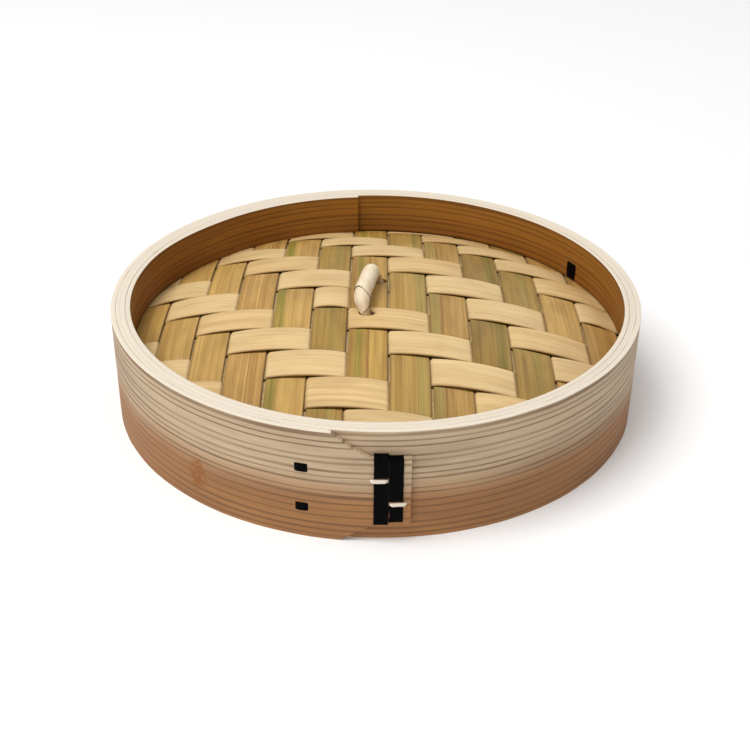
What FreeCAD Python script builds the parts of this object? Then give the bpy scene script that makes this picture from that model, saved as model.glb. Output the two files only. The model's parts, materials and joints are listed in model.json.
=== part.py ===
import FreeCAD, Part
import math
import os

import Sketcher
from FreeCAD import Placement, Rotation, Vector

# Lid of an 18 cm bamboo steamer, in millimetres, +Z up, front at -Y. The origin is the centre of
# the socket's mouth, on the plane that the lid stands on. Two bent boards make the wall: an outer
# one whose tongue laps over its own start and is sewn down with bark, and an inner one. Inside
# them a retaining ring and a support ring hold a domed panel: a twill of bamboo strips, a leaf
# lining and a coarser weave, on two crossed ribs. A cane loop leans in two slots of the panel.

# ---- driving dimensions; azimuths are in degrees, anticlockwise from +X ----

SIZES = {
    "outer_radius": 90.0,
    "lid_height": 38.0,
    "board_thickness": 1.7,
    "lap_gap": 0.1,
    "hoop_wall": 3.7,
    "seat_gap": 0.05,
    "tongue_end": 276.6,
    "board_start": 252.0,
    "tongue_drop": 8.2,
    "tongue_bottom": 6.15,
    "ring_thickness": 1.6,
    "ring_seam": 95.7,
    "ring_lap": 34.0,
    "support_thickness": 3.0,
    "socket_depth": 8.0,
    "socket_relief": 0.6,
    "recess_depth": 15.4,
    "panel_inset": 0.3,
    "panel_gap": 0.1,
    "dome_rise": 12.5,
    "strip_thickness": 0.7,
    "strip_gap": 1.3,
    "weave_gap": 0.1,
    "ramp_inset": 0.1,
    "warp_count": 13,
    "weft_count": 12,
    "weft_slope": 0.09,
    "lining_thickness": 0.4,
    "under_count": 8,
    "under_thickness": 0.6,
    "under_gap": 0.25,
    "layer_gap": 0.25,
    "rib_width": 6.0,
    "rib_thickness": 2.0,
    "rib_azimuth": 34.0,
    "notch_gap": 0.2,
    "bark_thickness": 0.5,
    "bark_gap": 0.1,
    "column_width": 3.8,
    "bridge_width": 1.3,
    "bridge_depth": 0.8,
    "stitch_length": 3.0,
    "stitch_width": 2.8,
    "ring_stitch_width": 4.8,
    "ring_stitch_rise": 6.3,
    "handle_x": -1.3,
    "handle_y": 0.7,
    "handle_span": 25.0,
    "handle_height": 8.9,
    "handle_corner": 6.4,
    "handle_azimuth": 80.0,
    "handle_lean": 21.0,
    "handle_swing": 30.0,
    "cane_radius": 1.6,
    "wrap_thickness": 0.85,
    "knot_radius": 2.35,
    "swing_gap": 0.3,
}

# Sizes that follow from the driving ones. Heights inside the panel are measured from the middle
# surface of its upper weave, which crosses the inner wall at panel_edge.
WORKED_OUT = {
    "lap_growth": "Sizes.board_thickness + Sizes.lap_gap",
    "socket_radius": "Sizes.outer_radius - Sizes.hoop_wall",
    "hoop_bore": "socket_radius - Sizes.socket_relief",
    "ring_radius": "hoop_bore - Sizes.seat_gap",
    "recess_radius": "ring_radius - Sizes.ring_thickness",
    "panel_radius": "ring_radius - Sizes.panel_inset",
    "ring_bottom": "Sizes.lid_height - Sizes.recess_depth",
    "tongue_top": "Sizes.lid_height - Sizes.tongue_drop",
    "leaf_inset": "(Sizes.ring_thickness + Sizes.lap_gap) / recess_radius",
    "rise_at_leaf": "Sizes.dome_rise * (1 - (1 - leaf_inset) ^ 2)",
    "weave_half": "Sizes.strip_thickness + Sizes.weave_gap / 2",
    "panel_edge": "ring_bottom - Sizes.panel_gap - rise_at_leaf - weave_half",
    "lining_top": "-weave_half - Sizes.layer_gap",
    "lining_bottom": "lining_top - Sizes.lining_thickness",
    "under_half": "Sizes.under_thickness + Sizes.under_gap / 2",
    "under_middle": "lining_bottom - Sizes.seat_gap - under_half",
    "under_bottom": "under_middle - under_half",
    "rib_top": "under_bottom - Sizes.layer_gap",
    "rim_drop": "Sizes.dome_rise * ((panel_radius / recess_radius) ^ 2 - 1)",
    "support_top": "panel_edge - rim_drop + under_bottom - Sizes.layer_gap",
    "notch_bottom": "panel_edge - rim_drop + rib_top - Sizes.rib_thickness - Sizes.panel_gap",
    "foot_share": "(Sizes.handle_span / 2 / recess_radius) ^ 2",
    "axis_height": "panel_edge + Sizes.dome_rise * (1 - foot_share)",
    "leg_top": "Sizes.handle_height - Sizes.handle_corner",
    "arm_half": "Sizes.handle_span / 2 - Sizes.handle_corner",
    "wrap_hole": "Sizes.cane_radius + Sizes.seat_gap",
    "wrap_radius": "wrap_hole + Sizes.wrap_thickness",
    "knot_reach": "Sizes.knot_radius - under_bottom + Sizes.swing_gap",
    "knot_depth": "knot_reach / cos(Sizes.handle_swing * 1deg)",
    "slot_length": "2 * (Sizes.cane_radius + Sizes.swing_gap)",
    "leg_half": "Sizes.cane_radius / cos(Sizes.handle_swing * 1deg)",
    "leg_sweep": "-under_bottom * tan(Sizes.handle_swing * 1deg)",
    "slot_width": "2 * (leg_half + leg_sweep + Sizes.swing_gap)",
}

# Where the first strip's centre lies inside the panel's edge, as a share of the pitch.
FIRST_WARP = 0.27
FIRST_WEFT = 0.14

# The oblique cuts that narrow the board to its tongue: the length from the tip to where each
# leaves the board's edge, and the length of the straight part. Each cut bends once on its way.
UPPER_CUT = (23.3, 11.8)
LOWER_CUT = (20.9, 10.8)
CUT_BEND = 0.62

# Bark columns: azimuth, how far the top and bottom lie above the tongue's own edges, and the
# wooden bridge's place as a share of the tongue's height. Stitches: azimuth and that share.
COLUMNS = {
    "lashing_left": (271.05, 0.75, -0.45, 0.679),
    "lashing_right": (273.8, -0.8, 0.8, 0.328),
}
FRONT_STITCHES = {"stitch_front_upper": (256.2, 0.791), "stitch_front_lower": (256.2, 0.201)}
RING_STITCHES = {"stitch_ring_right": 29.5, "stitch_ring_left": 209.5}

doc = FreeCAD.newDocument("steamer_lid")


def make_sheet(name, cells):
    sheet = doc.addObject("Spreadsheet::Sheet", name)
    for row, (alias, content) in enumerate(cells.items(), start=1):
        sheet.set(f"A{row}", alias)
        sheet.set(f"B{row}", content)
        sheet.setAlias(f"B{row}", alias)
    doc.recompute()
    return sheet


sizes_sheet = make_sheet("Sizes", {alias: str(number) for alias, number in SIZES.items()})
worked_sheet = make_sheet("Worked", {alias: f"={rule}" for alias, rule in WORKED_OUT.items()})


def size(alias):
    """The number that one of the two sheets holds under an alias."""
    sheet = sizes_sheet if alias in SIZES else worked_sheet
    return float(sheet.get(alias))


def dome(x, y):
    """Height of the middle surface of the panel's upper weave."""
    share = (x * x + y * y) / size("recess_radius") ** 2
    return size("panel_edge") + size("dome_rise") * (1 - share)


# ---- helpers ----


def bind(thing, **expressions):
    """Binds properties to expressions; a double underscore in a name stands for a dot."""
    for name, expression in expressions.items():
        thing.setExpression(name.replace("__", "."), expression)
    return thing


def new(kind, name, **expressions):
    return bind(doc.addObject(kind, name), **expressions)


def feature(name, shape):
    """A piece whose shape no primitive or sketch gives."""
    thing = doc.addObject("Part::Feature", name)
    thing.Shape = shape
    return thing


def fuse(name, things):
    joined = doc.addObject("Part::MultiFuse", name)
    joined.Shapes = things
    return joined


def cut(name, base, tool):
    result = doc.addObject("Part::Cut", name)
    result.Base = base
    result.Tool = tool
    return result


def polar(radius, azimuth, height=0.0):
    angle = math.radians(azimuth)
    return Vector(radius * math.cos(angle), radius * math.sin(angle), height)


def spline(points):
    curve = Part.BSplineCurve()
    curve.interpolate(points)
    return curve.toShape()


def wire_between(first, second):
    """The closed wire of two rows of points that run the same way."""
    ends = [Part.makeLine(first[n], second[n]) for n in (0, -1)]
    return Part.Wire([spline(first), ends[1], spline(second), ends[0]])


# ---- the wall ----


def hoop_outside(azimuth):
    """Outside of the outer board, which winds outwards. Its tongue ends on the second turn."""
    turns = (azimuth - size("tongue_end")) / 360 - 0.5
    return size("outer_radius") + size("lap_growth") * turns


def hoop_inside(azimuth):
    return hoop_outside(azimuth) - size("board_thickness")


def arc_points(radius_at, start, end, height):
    """Points every few degrees along a radius that is a function of the azimuth."""
    steps = round(abs(end - start) / 5)
    azimuths = [start + (end - start) * n / steps for n in range(steps + 1)]
    return [polar(radius_at(a), a, height) for a in azimuths]


def board_on_edge(outside_at, inside_at, start, end, low, high):
    rows = [arc_points(at, start, end, low) for at in (outside_at, inside_at)]
    return Part.Face(wire_between(*rows)).extrude(Vector(0, 0, high - low))


def tongue_offcut(name, cut_lengths, board_edge, tongue_edge):
    """What is cut off the lapping board, above or below its tongue."""
    tip_azimuth = size("tongue_end") + 360
    tip = hoop_outside(tip_azimuth) * math.radians(size("tongue_end") - 270)
    root, straight = (tip - length for length in cut_lengths)
    bend = board_edge + CUT_BEND * (tongue_edge - board_edge)
    past_edge = board_edge + math.copysign(1, board_edge - tongue_edge)
    outline = [(root, past_edge), (root, board_edge), ((root + straight) / 2, bend)]
    outline += [(straight, tongue_edge), (tip + 2, tongue_edge), (tip + 2, past_edge)]
    front = -hoop_outside(tip_azimuth) - 2
    points = [Vector(x, front, z) for x, z in outline]
    prism = Part.Face(Part.makePolygon(points + points[:1])).extrude(Vector(0, 9, 0))
    low, high = sorted((past_edge, tongue_edge))
    lapping = board_on_edge(
        lambda a: hoop_outside(a) + 1,
        lambda a: hoop_inside(a) - size("lap_gap") / 2,
        tip_azimuth - 20,
        tip_azimuth + 3,
        low,
        high,
    )
    return feature(name, prism.common(lapping))


def make_outer_hoop(slits):
    start, end = size("board_start"), size("tongue_end") + 360
    height = size("lid_height")
    wound = feature("wound_board", board_on_edge(hoop_outside, hoop_inside, start, end, 0, height))
    upper = tongue_offcut("offcut_upper", UPPER_CUT, height, size("tongue_top"))
    lower = tongue_offcut("offcut_lower", LOWER_CUT, 0, size("tongue_bottom"))
    return cut("outer_hoop", wound, fuse("hoop_cuts", [upper, lower] + slits))


def make_inner_hoop(slits):
    """Its outside follows the outer board and steps where that board starts."""
    gap = size("seat_gap")
    start = size("board_start") - math.degrees(2 * gap / size("outer_radius"))
    outline = arc_points(lambda a: hoop_inside(a) - gap, start, start + 360, 0)
    wire = Part.Wire([spline(outline), Part.makeLine(outline[-1], outline[0])])
    blank = feature("inner_blank", Part.Face(wire).extrude(Vector(0, 0, size("lid_height"))))
    bore = new("Part::Cylinder", "inner_bore")
    bind(bore, Radius="Worked.hoop_bore", Height="Sizes.lid_height")
    socket = new("Part::Cylinder", "socket")
    bind(socket, Radius="Worked.socket_radius", Height="Sizes.socket_depth")
    return cut("inner_hoop", blank, fuse("inner_cuts", [bore, socket] + slits))


def make_retaining_ring(slits):
    """A board that laps inside itself. Its visible end is the seam at the back."""
    inward = size("ring_thickness") + size("lap_gap")
    ramp_start = size("ring_seam") + size("ring_lap") + 6
    ramp = 30

    def outside(azimuth):
        share = min(max((azimuth - ramp_start) / ramp, 0), 1)
        eased = share * share * (3 - 2 * share)
        return size("ring_radius") - inward * (1 - eased)

    def inside(azimuth):
        return outside(azimuth) - size("ring_thickness")

    end = size("ring_seam") + 360 + size("ring_lap")
    low, high = size("ring_bottom"), size("lid_height")
    wound = board_on_edge(outside, inside, size("ring_seam"), end, low, high)
    return cut("retaining_ring", feature("ring_board", wound), fuse("ring_cuts", slits))


def make_support_ring():
    """The shoulder that the panel stands on, notched for the ribs' ends."""
    body = doc.addObject("PartDesign::Body", "support_body")
    sketch = body.newObject("Sketcher::SketchObject", "support_sketch")
    plane = next(f for f in body.Origin.OriginFeatures if f.Role == "XY_Plane")
    sketch.AttachmentSupport = [(plane, "")]
    sketch.MapMode = "FlatFace"
    bind(sketch, AttachmentOffset__Base__z="Sizes.socket_depth")
    radii = {"outer": "Worked.ring_radius", "inner": "Worked.ring_radius - Sizes.support_thickness"}
    for number, (side, radius) in enumerate(radii.items()):
        circle = Part.Circle(Vector(0, 0, 0), Vector(0, 0, 1), size("ring_radius") - number)
        sketch.addGeometry(circle)
        sketch.addConstraint(Sketcher.Constraint("Coincident", number, 3, -1, 1))
        sketch.addConstraint(Sketcher.Constraint("Radius", number, size("ring_radius") - number))
        sketch.renameConstraint(2 * number + 1, side)
        bind(sketch, **{f"Constraints__{side}": radius})
    pad = body.newObject("PartDesign::Pad", "support_pad")
    pad.Profile = sketch
    bind(pad, Length="Worked.support_top - Sizes.socket_depth")
    notches = []
    for quarter in range(4):
        notch = new("Part::Box", f"rib_notch_{quarter}", Length="Sizes.support_thickness * 2")
        bind(notch, Width="Sizes.rib_width + 2 * Sizes.notch_gap", Height="Sizes.lid_height")
        turn = Rotation(Vector(0, 0, 1), size("rib_azimuth") + 90 * quarter)
        half_width = size("rib_width") / 2 + size("notch_gap")
        inner = size("ring_radius") - 1.5 * size("support_thickness")
        corner = turn.multVec(Vector(inner, -half_width, size("notch_bottom")))
        notch.Placement = Placement(corner, turn)
        notches.append(notch)
    return cut("support_ring", body, fuse("rib_notches", notches))


# ---- bark: each strip is drawn at the front, where outward is -Y, and turned to its azimuth ----


def surface(azimuth, turns):
    """Expression for the outer board's outside at an azimuth of its first or second turn."""
    share = f"(({azimuth} - Sizes.tongue_end) / 360 + {turns} - 0.5)"
    return f"(Sizes.outer_radius + Worked.lap_growth * {share})"


def bark_outside(azimuth, turns):
    """Middle of a bark strip that lies on the board."""
    return f"({surface(azimuth, turns)} + Sizes.seat_gap + Sizes.bark_thickness / 2)"


def bark_behind(azimuth, turns):
    """Middle of a bark strip that lies against the board's inside."""
    half = "Sizes.bark_thickness / 2"
    return f"({surface(azimuth, turns)} - Sizes.board_thickness - Sizes.seat_gap - {half})"


def bark_box(name, low, high, grow):
    """A box between two corners (x, distance out, height), each side moved out by grow."""
    run = doc.addObject("Part::Box", name)
    sides = ("Length", "Width", "Height")
    for axis, side in enumerate(sides):
        bind(run, **{side: f"({high[axis]}) - ({low[axis]}) + 2 * {grow}"})
    bind(run, Placement__Base__x=f"({low[0]}) - {grow}")
    bind(run, Placement__Base__y=f"-({high[1]}) - {grow}")
    bind(run, Placement__Base__z=f"({low[2]}) - {grow}")
    return run


def bark_route(name, azimuth, corners, width, grow):
    """Bark along a closed route of (distance out, height) corners with square turns."""
    half = "Sizes.bark_thickness / 2"
    runs = []
    for (out_a, up_a), (out_b, up_b) in zip(corners, corners[1:] + corners[:1]):
        low = (f"-{width} / 2", f"min({out_a}; {out_b}) - {half}", f"min({up_a}; {up_b}) - {half}")
        high = (f"{width} / 2", f"max({out_a}; {out_b}) + {half}", f"max({up_a}; {up_b}) + {half}")
        runs.append(bark_box(f"{name}_run", low, high, grow))
    route = fuse(name, runs)
    route.Placement = Placement(Vector(0, 0, 0), Rotation(Vector(0, 0, 1), azimuth - 270))
    return route


def up_tongue(share):
    """Expression for a height between the tongue's lower and upper edge."""
    return f"(Sizes.tongue_bottom + {share} * (Worked.tongue_top - Sizes.tongue_bottom))"


def column(place, suffix="", grow="0"):
    """Over the tongue, under its wooden bridge, and back inside both layers of the lap."""
    azimuth, above_top, above_bottom, share = COLUMNS[place]
    top, bottom = f"(Worked.tongue_top + {above_top})", f"(Sizes.tongue_bottom + {above_bottom})"
    bridge = up_tongue(share)
    out, behind = bark_outside(azimuth, 1), bark_behind(azimuth, 0)
    half = "Sizes.bark_thickness / 2"
    dip = f"({surface(azimuth, 1)} - Sizes.bridge_depth - {half})"
    reach = f"(Sizes.bridge_width / 2 + Sizes.bark_gap + {half})"
    above, below = f"({bridge} + {reach})", f"({bridge} - {reach})"
    corners = [(behind, top), (out, top), (out, above), (dip, above)]
    corners += [(dip, below), (out, below), (out, bottom), (behind, bottom)]
    return bark_route(place + suffix, azimuth, corners, "Sizes.column_width", grow)


def ring_stitch(place, suffix="", grow="0"):
    """Round the retaining ring's lower edge and through the inner hoop."""
    azimuth = RING_STITCHES[place]
    half = "Sizes.bark_thickness / 2"
    front = f"(Worked.recess_radius - Sizes.seat_gap - {half})"
    behind = f"({bark_behind(azimuth, 1)} - Sizes.seat_gap)"
    low = f"(Worked.ring_bottom + Sizes.bark_gap + {half})"
    top = "(Worked.ring_bottom + Sizes.ring_stitch_rise)"
    corners = [(front, top), (behind, top), (behind, low), (front, low)]
    return bark_route(place + suffix, azimuth, corners, "Sizes.ring_stitch_width", grow)


def front_stitch(place, suffix="", grow="0"):
    """A short level stitch through both layers at the start of the lap."""
    azimuth, share = FRONT_STITCHES[place]
    out, behind = bark_outside(azimuth, 1), bark_behind(azimuth, 0)
    half = "Sizes.bark_thickness / 2"
    levels = [f"{up_tongue(share)} {sign} Sizes.stitch_width / 2" for sign in "-+"]
    runs = []
    for near, far, left, right in (
        (out, out, "-Sizes.stitch_length / 2", "Sizes.stitch_length / 2"),
        (behind, behind, "-Sizes.stitch_length / 2", "Sizes.stitch_length / 2"),
        (behind, out, "-Sizes.stitch_length / 2", "-Sizes.stitch_length / 2"),
        (behind, out, "Sizes.stitch_length / 2", "Sizes.stitch_length / 2"),
    ):
        low = (f"{left} - {half}", f"{near} - {half}", levels[0])
        high = (f"{right} + {half}", f"{far} + {half}", levels[1])
        runs.append(bark_box(f"{place}{suffix}_run", low, high, grow))
    stitch = fuse(place + suffix, runs)
    stitch.Placement = Placement(Vector(0, 0, 0), Rotation(Vector(0, 0, 1), azimuth - 270))
    return stitch


# ---- the domed panel ----


def slot_boxes():
    """The two slots that leave room for the handle's legs over their whole swing."""
    turn = Rotation(Vector(0, 0, 1), size("handle_azimuth"))
    middle = Vector(size("handle_x"), size("handle_y"), 0)
    boxes = []
    for side in (-1, 1):
        near = side * size("handle_span") / 2 - size("slot_length") / 2
        corner = middle + turn.multVec(Vector(near, -size("slot_width") / 2, 0))
        box = Part.makeBox(size("slot_length"), size("slot_width"), size("lid_height"))
        box.Placement = Placement(corner, turn)
        boxes.append(box)
    return boxes


def trimmed(shape):
    """A panel layer cut to the panel's outline, less the handle's slots."""
    shape = shape.common(Part.makeCylinder(size("panel_radius"), size("lid_height")))
    for slot in slot_boxes():
        if shape.BoundBox.intersect(slot.BoundBox):
            shape = shape.cut(slot)
    return shape


def wave(crossings, half_width, over, offset, reach):
    """The (distance along, level) points where a strip starts or ends a change of level."""
    half_level = half_width + size("ramp_inset")
    knots = [(-reach, offset if over[0] else -offset)]
    for n in range(len(crossings) - 1):
        if over[n] != over[n + 1]:
            level = offset if over[n + 1] else -offset
            knots.append((crossings[n] + half_level, -level))
            knots.append((crossings[n + 1] - half_level, level))
    knots.append((reach, knots[-1][1]))
    return [knot for knot in knots if abs(knot[0]) <= reach]


def draped(origin, direction, knots, lift):
    """The edges of one side of a strip: level between knots, or eased, and bent to the dome."""
    steepness = 2 * size("dome_rise") / size("recess_radius") ** 2
    points, tangents = [], []
    for along, level in knots:
        x, y = (origin[n] + along * direction[n] for n in (0, 1))
        points.append(Vector(x, y, dome(x, y) + level + lift))
        tangents.append(Vector(*direction, -steepness * (x * direction[0] + y * direction[1])))
    edges = []
    for n in range(len(knots) - 1):
        third = (knots[n + 1][0] - knots[n][0]) / 3
        middle = [points[n] + tangents[n] * third, points[n + 1] - tangents[n + 1] * third]
        curve = Part.BezierCurve()
        curve.setPoles([points[n], *middle, points[n + 1]])
        edges.append(curve.toShape())
    return edges


def woven_strip(edges, thickness, middle):
    """A ruled strip between its two edges, each (origin, direction, knots) in plan."""
    wires = []
    for origin, direction, knots in edges:
        upper, lower = (
            draped(origin, direction, knots, middle + side * thickness) for side in (0.5, -0.5)
        )
        start = Part.makeLine(lower[0].Vertexes[0].Point, upper[0].Vertexes[0].Point)
        end = Part.makeLine(upper[-1].Vertexes[-1].Point, lower[-1].Vertexes[-1].Point)
        wires.append(Part.Wire([start, *upper, end, *reversed(lower)]))
    return trimmed(Part.makeLoft(wires, True, True))


def weave(warps, wefts, slope, widths, thickness, gap, middle, weft_over):
    """Both sets of strips: warps run along Y and wefts along X, falling by slope to the right."""
    offset = (thickness + gap) / 2
    reach = size("panel_radius") + 3
    half_warp, half_weft = widths[0] / 2, widths[1] / 2
    warp_strips, weft_strips = [], []
    for i, x_middle in enumerate(warps):
        over = [not weft_over(i, j) for j in range(len(wefts))]
        edges = []
        for x in (x_middle - half_warp, x_middle + half_warp):
            knots = wave([y - slope * x for y in wefts], half_weft, over, offset, reach)
            edges.append(((x, 0), (0, 1), knots))
        warp_strips.append(woven_strip(edges, thickness, middle))
    for j, y_middle in enumerate(wefts):
        over = [weft_over(i, j) for i in range(len(warps))]
        knots = wave(warps, half_warp, over, offset, reach)
        edges = [((0, y_middle + side), (1, -slope), knots) for side in (-half_weft, half_weft)]
        weft_strips.append(woven_strip(edges, thickness, middle))
    return warp_strips, weft_strips


def strip_centres(count, pitch, first_share):
    first = -size("panel_radius") + first_share * pitch
    return [first + pitch * n for n in range(count)]


def make_upper_weave():
    """A two-over, two-under twill."""
    across = 2 * size("panel_radius")
    warp_pitch, weft_pitch = across / size("warp_count"), across / size("weft_count")
    warps = strip_centres(round(size("warp_count")), warp_pitch, FIRST_WARP)
    wefts = strip_centres(round(size("weft_count")) + 1, weft_pitch, FIRST_WEFT)
    widths = (warp_pitch - size("strip_gap"), weft_pitch - size("strip_gap"))
    sets = weave(
        warps,
        wefts,
        size("weft_slope"),
        widths,
        size("strip_thickness"),
        size("weave_gap"),
        0,
        lambda i, j: (i + j + 1) % 4 < 2,
    )
    pieces = []
    for kind, strips in zip(("warp", "weft"), sets):
        for number, shape in enumerate(strips, start=1):
            pieces.append(feature(f"{kind}_strip_{number:02d}", shape))
    return pieces


def make_under_weave():
    """A plain weave of wider strips, which the leaf lining hides from above."""
    pitch = 2 * size("panel_radius") / size("under_count")
    centres = strip_centres(round(size("under_count")), pitch, 0.5)
    width = pitch - size("strip_gap")
    sets = weave(
        centres,
        centres,
        0,
        (width, width),
        size("under_thickness"),
        size("under_gap"),
        size("under_middle"),
        lambda i, j: (i + j) % 2,
    )
    names = ("under_warps", "under_wefts")
    return [feature(name, Part.makeCompound(strips)) for name, strips in zip(names, sets)]


def dome_profile(lift, flatten, reach):
    """Points of the dome's section, moved by lift and lowered by flatten at its middle."""
    steps = 24
    points = []
    for n in range(-steps, steps + 1):
        x = reach * n / steps
        lower = flatten * (1 - (x / size("panel_radius")) ** 2)
        points.append(Vector(x, 0, dome(x, 0) + lift - lower))
    return points


def make_leaf_lining():
    halves = []
    for lift in (size("lining_top"), size("lining_bottom")):
        points = dome_profile(lift, 0, size("panel_radius"))
        halves.append(points[len(points) // 2 :])
    section = Part.Face(wire_between(*halves))
    shell = section.revolve(Vector(0, 0, 0), Vector(0, 0, 1), 360)
    return feature("leaf_lining", trimmed(shell))


def make_rib(name, azimuth, flatten):
    """A split bamboo rib, sprung under the panel with its ends in the support ring's notches."""
    width = size("rib_width")
    reach = math.sqrt(size("panel_radius") ** 2 - (width / 2) ** 2)
    top, bottom = size("rib_top"), size("rib_top") - size("rib_thickness")
    rows = [dome_profile(lift, flatten, reach) for lift in (top, bottom)]
    shape = Part.Face(wire_between(*rows)).extrude(Vector(0, width, 0))
    shape.translate(Vector(0, -width / 2, 0))
    shape.rotate(Vector(0, 0, 0), Vector(0, 0, 1), azimuth)
    return feature(name, shape)


# ---- the handle, drawn upright along X about its hinge axis ----


def arch(name, radius, parts):
    """Some of the loop's stretches, as round bars of one radius."""
    bars = []
    for side, label in ((-1, "front"), (1, "back")):
        if f"{label}_leg" in parts:
            leg = new("Part::Cylinder", f"{name}_{label}_leg", Radius=radius)
            bind(leg, Height="Worked.leg_top + Worked.knot_depth")
            bind(leg, Placement__Base__x=f"{side} * Sizes.handle_span / 2")
            bind(leg, Placement__Base__z="-Worked.knot_depth")
            bars.append(leg)
        if f"{label}_corner" in parts:
            corner = new("Part::Torus", f"{name}_{label}_corner", Radius2=radius)
            corner.Angle3 = 90
            along = Vector(-1, 0, 0) if side < 0 else Vector(0, 0, 1)
            up = Vector(0, 0, 1) if side < 0 else Vector(1, 0, 0)
            corner.Placement = Placement(Vector(), Rotation(along, up, Vector(0, 1, 0), "XYZ"))
            bind(corner, Radius1="Sizes.handle_corner")
            bind(corner, Placement__Base__x=f"{side} * Worked.arm_half")
            bind(corner, Placement__Base__z="Worked.leg_top")
            bars.append(corner)
    if "arm" in parts:
        arm = new("Part::Cylinder", f"{name}_arm", Radius=radius, Height="2 * Worked.arm_half")
        arm.Placement = Placement(Vector(), Rotation(Vector(0, 1, 0), 90))
        bind(arm, Placement__Base__x="-Worked.arm_half")
        bind(arm, Placement__Base__z="Sizes.handle_height")
        bars.append(arm)
    return bars[0] if len(bars) == 1 else fuse(name, bars)


def lean(thing):
    """Stands a handle piece on the panel, leaning to the left."""
    place = Vector(size("handle_x"), size("handle_y"), size("axis_height"))
    turn = Rotation(Vector(0, 0, 1), size("handle_azimuth"))
    tilt = Rotation(Vector(1, 0, 0), -size("handle_lean"))
    thing.Placement = Placement(place, turn * tilt)
    return thing


def make_handle():
    whole = ("front_leg", "front_corner", "arm", "back_corner", "back_leg")
    pieces = [arch("handle_core", "Sizes.cane_radius", whole)]
    for name, parts in (
        ("handle_wrap_front", ("front_corner",)),
        ("handle_wrap_back", ("arm", "back_corner")),
    ):
        outside = arch(f"{name}_outside", "Worked.wrap_radius", parts)
        hole = arch(f"{name}_hole", "Worked.wrap_hole", parts)
        pieces.append(cut(name, outside, hole))
    for side, label in ((-1, "front"), (1, "back")):
        knot = new("Part::Sphere", f"knot_{label}", Radius="Sizes.knot_radius")
        hole = new("Part::Cylinder", f"knot_{label}_hole", Radius="Worked.wrap_hole")
        bind(hole, Height="2 * Sizes.knot_radius")
        for thing in (knot, hole):
            bind(thing, Placement__Base__x=f"{side} * Sizes.handle_span / 2")
        bind(knot, Placement__Base__z="-Worked.knot_depth")
        bind(hole, Placement__Base__z="-Worked.knot_depth - Sizes.seat_gap")
        pieces.append(cut(f"handle_knot_{label}", knot, hole))
    return [lean(piece) for piece in pieces]


# ---- the whole lid ----

columns = [column(place) for place in COLUMNS]
stitches = [front_stitch(place) for place in FRONT_STITCHES]
ring_stitches = [ring_stitch(place) for place in RING_STITCHES]


def lap_slits():
    """New cutting tools for the slits through both layers of the lap."""
    tools = [column(place, "_slit", "Sizes.bark_gap") for place in COLUMNS]
    return tools + [front_stitch(place, "_slit", "Sizes.bark_gap") for place in FRONT_STITCHES]


def ring_slits():
    return [ring_stitch(place, "_slit", "Sizes.bark_gap") for place in RING_STITCHES]


pieces = [
    make_outer_hoop(lap_slits()),
    make_inner_hoop(lap_slits() + ring_slits()),
    make_retaining_ring(ring_slits()),
    make_support_ring(),
    make_leaf_lining(),
    make_rib("rib_upper", size("rib_azimuth"), 0),
    make_rib("rib_lower", size("rib_azimuth") + 90, size("rib_thickness") + size("seat_gap")),
]
pieces += columns + stitches + ring_stitches
pieces += make_upper_weave() + make_under_weave() + make_handle()

for piece in pieces:
    piece.Label = piece.Name
doc.recompute()

failed = [o.Name for o in doc.Objects if "Invalid" in o.State or "Error" in o.State]
if failed:
    raise SystemExit(f"failed objects: {failed}")
bad = [p.Label for p in pieces if p.Shape.isNull() or not p.Shape.isValid() or not p.Shape.Solids]
if bad:
    raise SystemExit(f"bad shapes: {bad}")

os.makedirs("parts", exist_ok=True)
for piece in pieces:
    piece.Shape.exportStep(f"parts/{piece.Label}.step")
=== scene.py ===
import json
import math
import random

import bmesh
import bpy
import numpy as np
from mathutils import Matrix, Vector, noise


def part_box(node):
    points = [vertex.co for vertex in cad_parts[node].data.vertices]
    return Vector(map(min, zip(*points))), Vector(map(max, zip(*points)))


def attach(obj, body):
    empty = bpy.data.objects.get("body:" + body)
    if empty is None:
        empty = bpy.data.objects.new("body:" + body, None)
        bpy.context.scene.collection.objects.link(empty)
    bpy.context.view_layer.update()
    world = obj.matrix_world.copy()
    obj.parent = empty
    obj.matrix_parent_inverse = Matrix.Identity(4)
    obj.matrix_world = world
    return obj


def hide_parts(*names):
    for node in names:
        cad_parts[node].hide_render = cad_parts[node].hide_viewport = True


# Looks of an 18 cm bamboo steamer lid, in metres in the row frame: two bent cedar boards, the
# rings inside them, a domed twill of bamboo strips, bark lashings and a leaning cane loop.
# The underside, which the panel hides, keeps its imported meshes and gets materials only.

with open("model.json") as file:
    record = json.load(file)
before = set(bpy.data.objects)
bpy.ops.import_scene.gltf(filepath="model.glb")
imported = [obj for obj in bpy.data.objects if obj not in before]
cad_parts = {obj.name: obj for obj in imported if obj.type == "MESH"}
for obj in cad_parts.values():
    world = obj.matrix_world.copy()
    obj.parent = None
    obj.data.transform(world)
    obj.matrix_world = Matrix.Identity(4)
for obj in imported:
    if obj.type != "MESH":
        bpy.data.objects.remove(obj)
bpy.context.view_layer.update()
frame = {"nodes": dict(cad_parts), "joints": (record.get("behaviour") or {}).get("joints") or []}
random.seed(18)

MM = 0.001

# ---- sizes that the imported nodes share; azimuths in degrees, anticlockwise from +X ----

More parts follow.
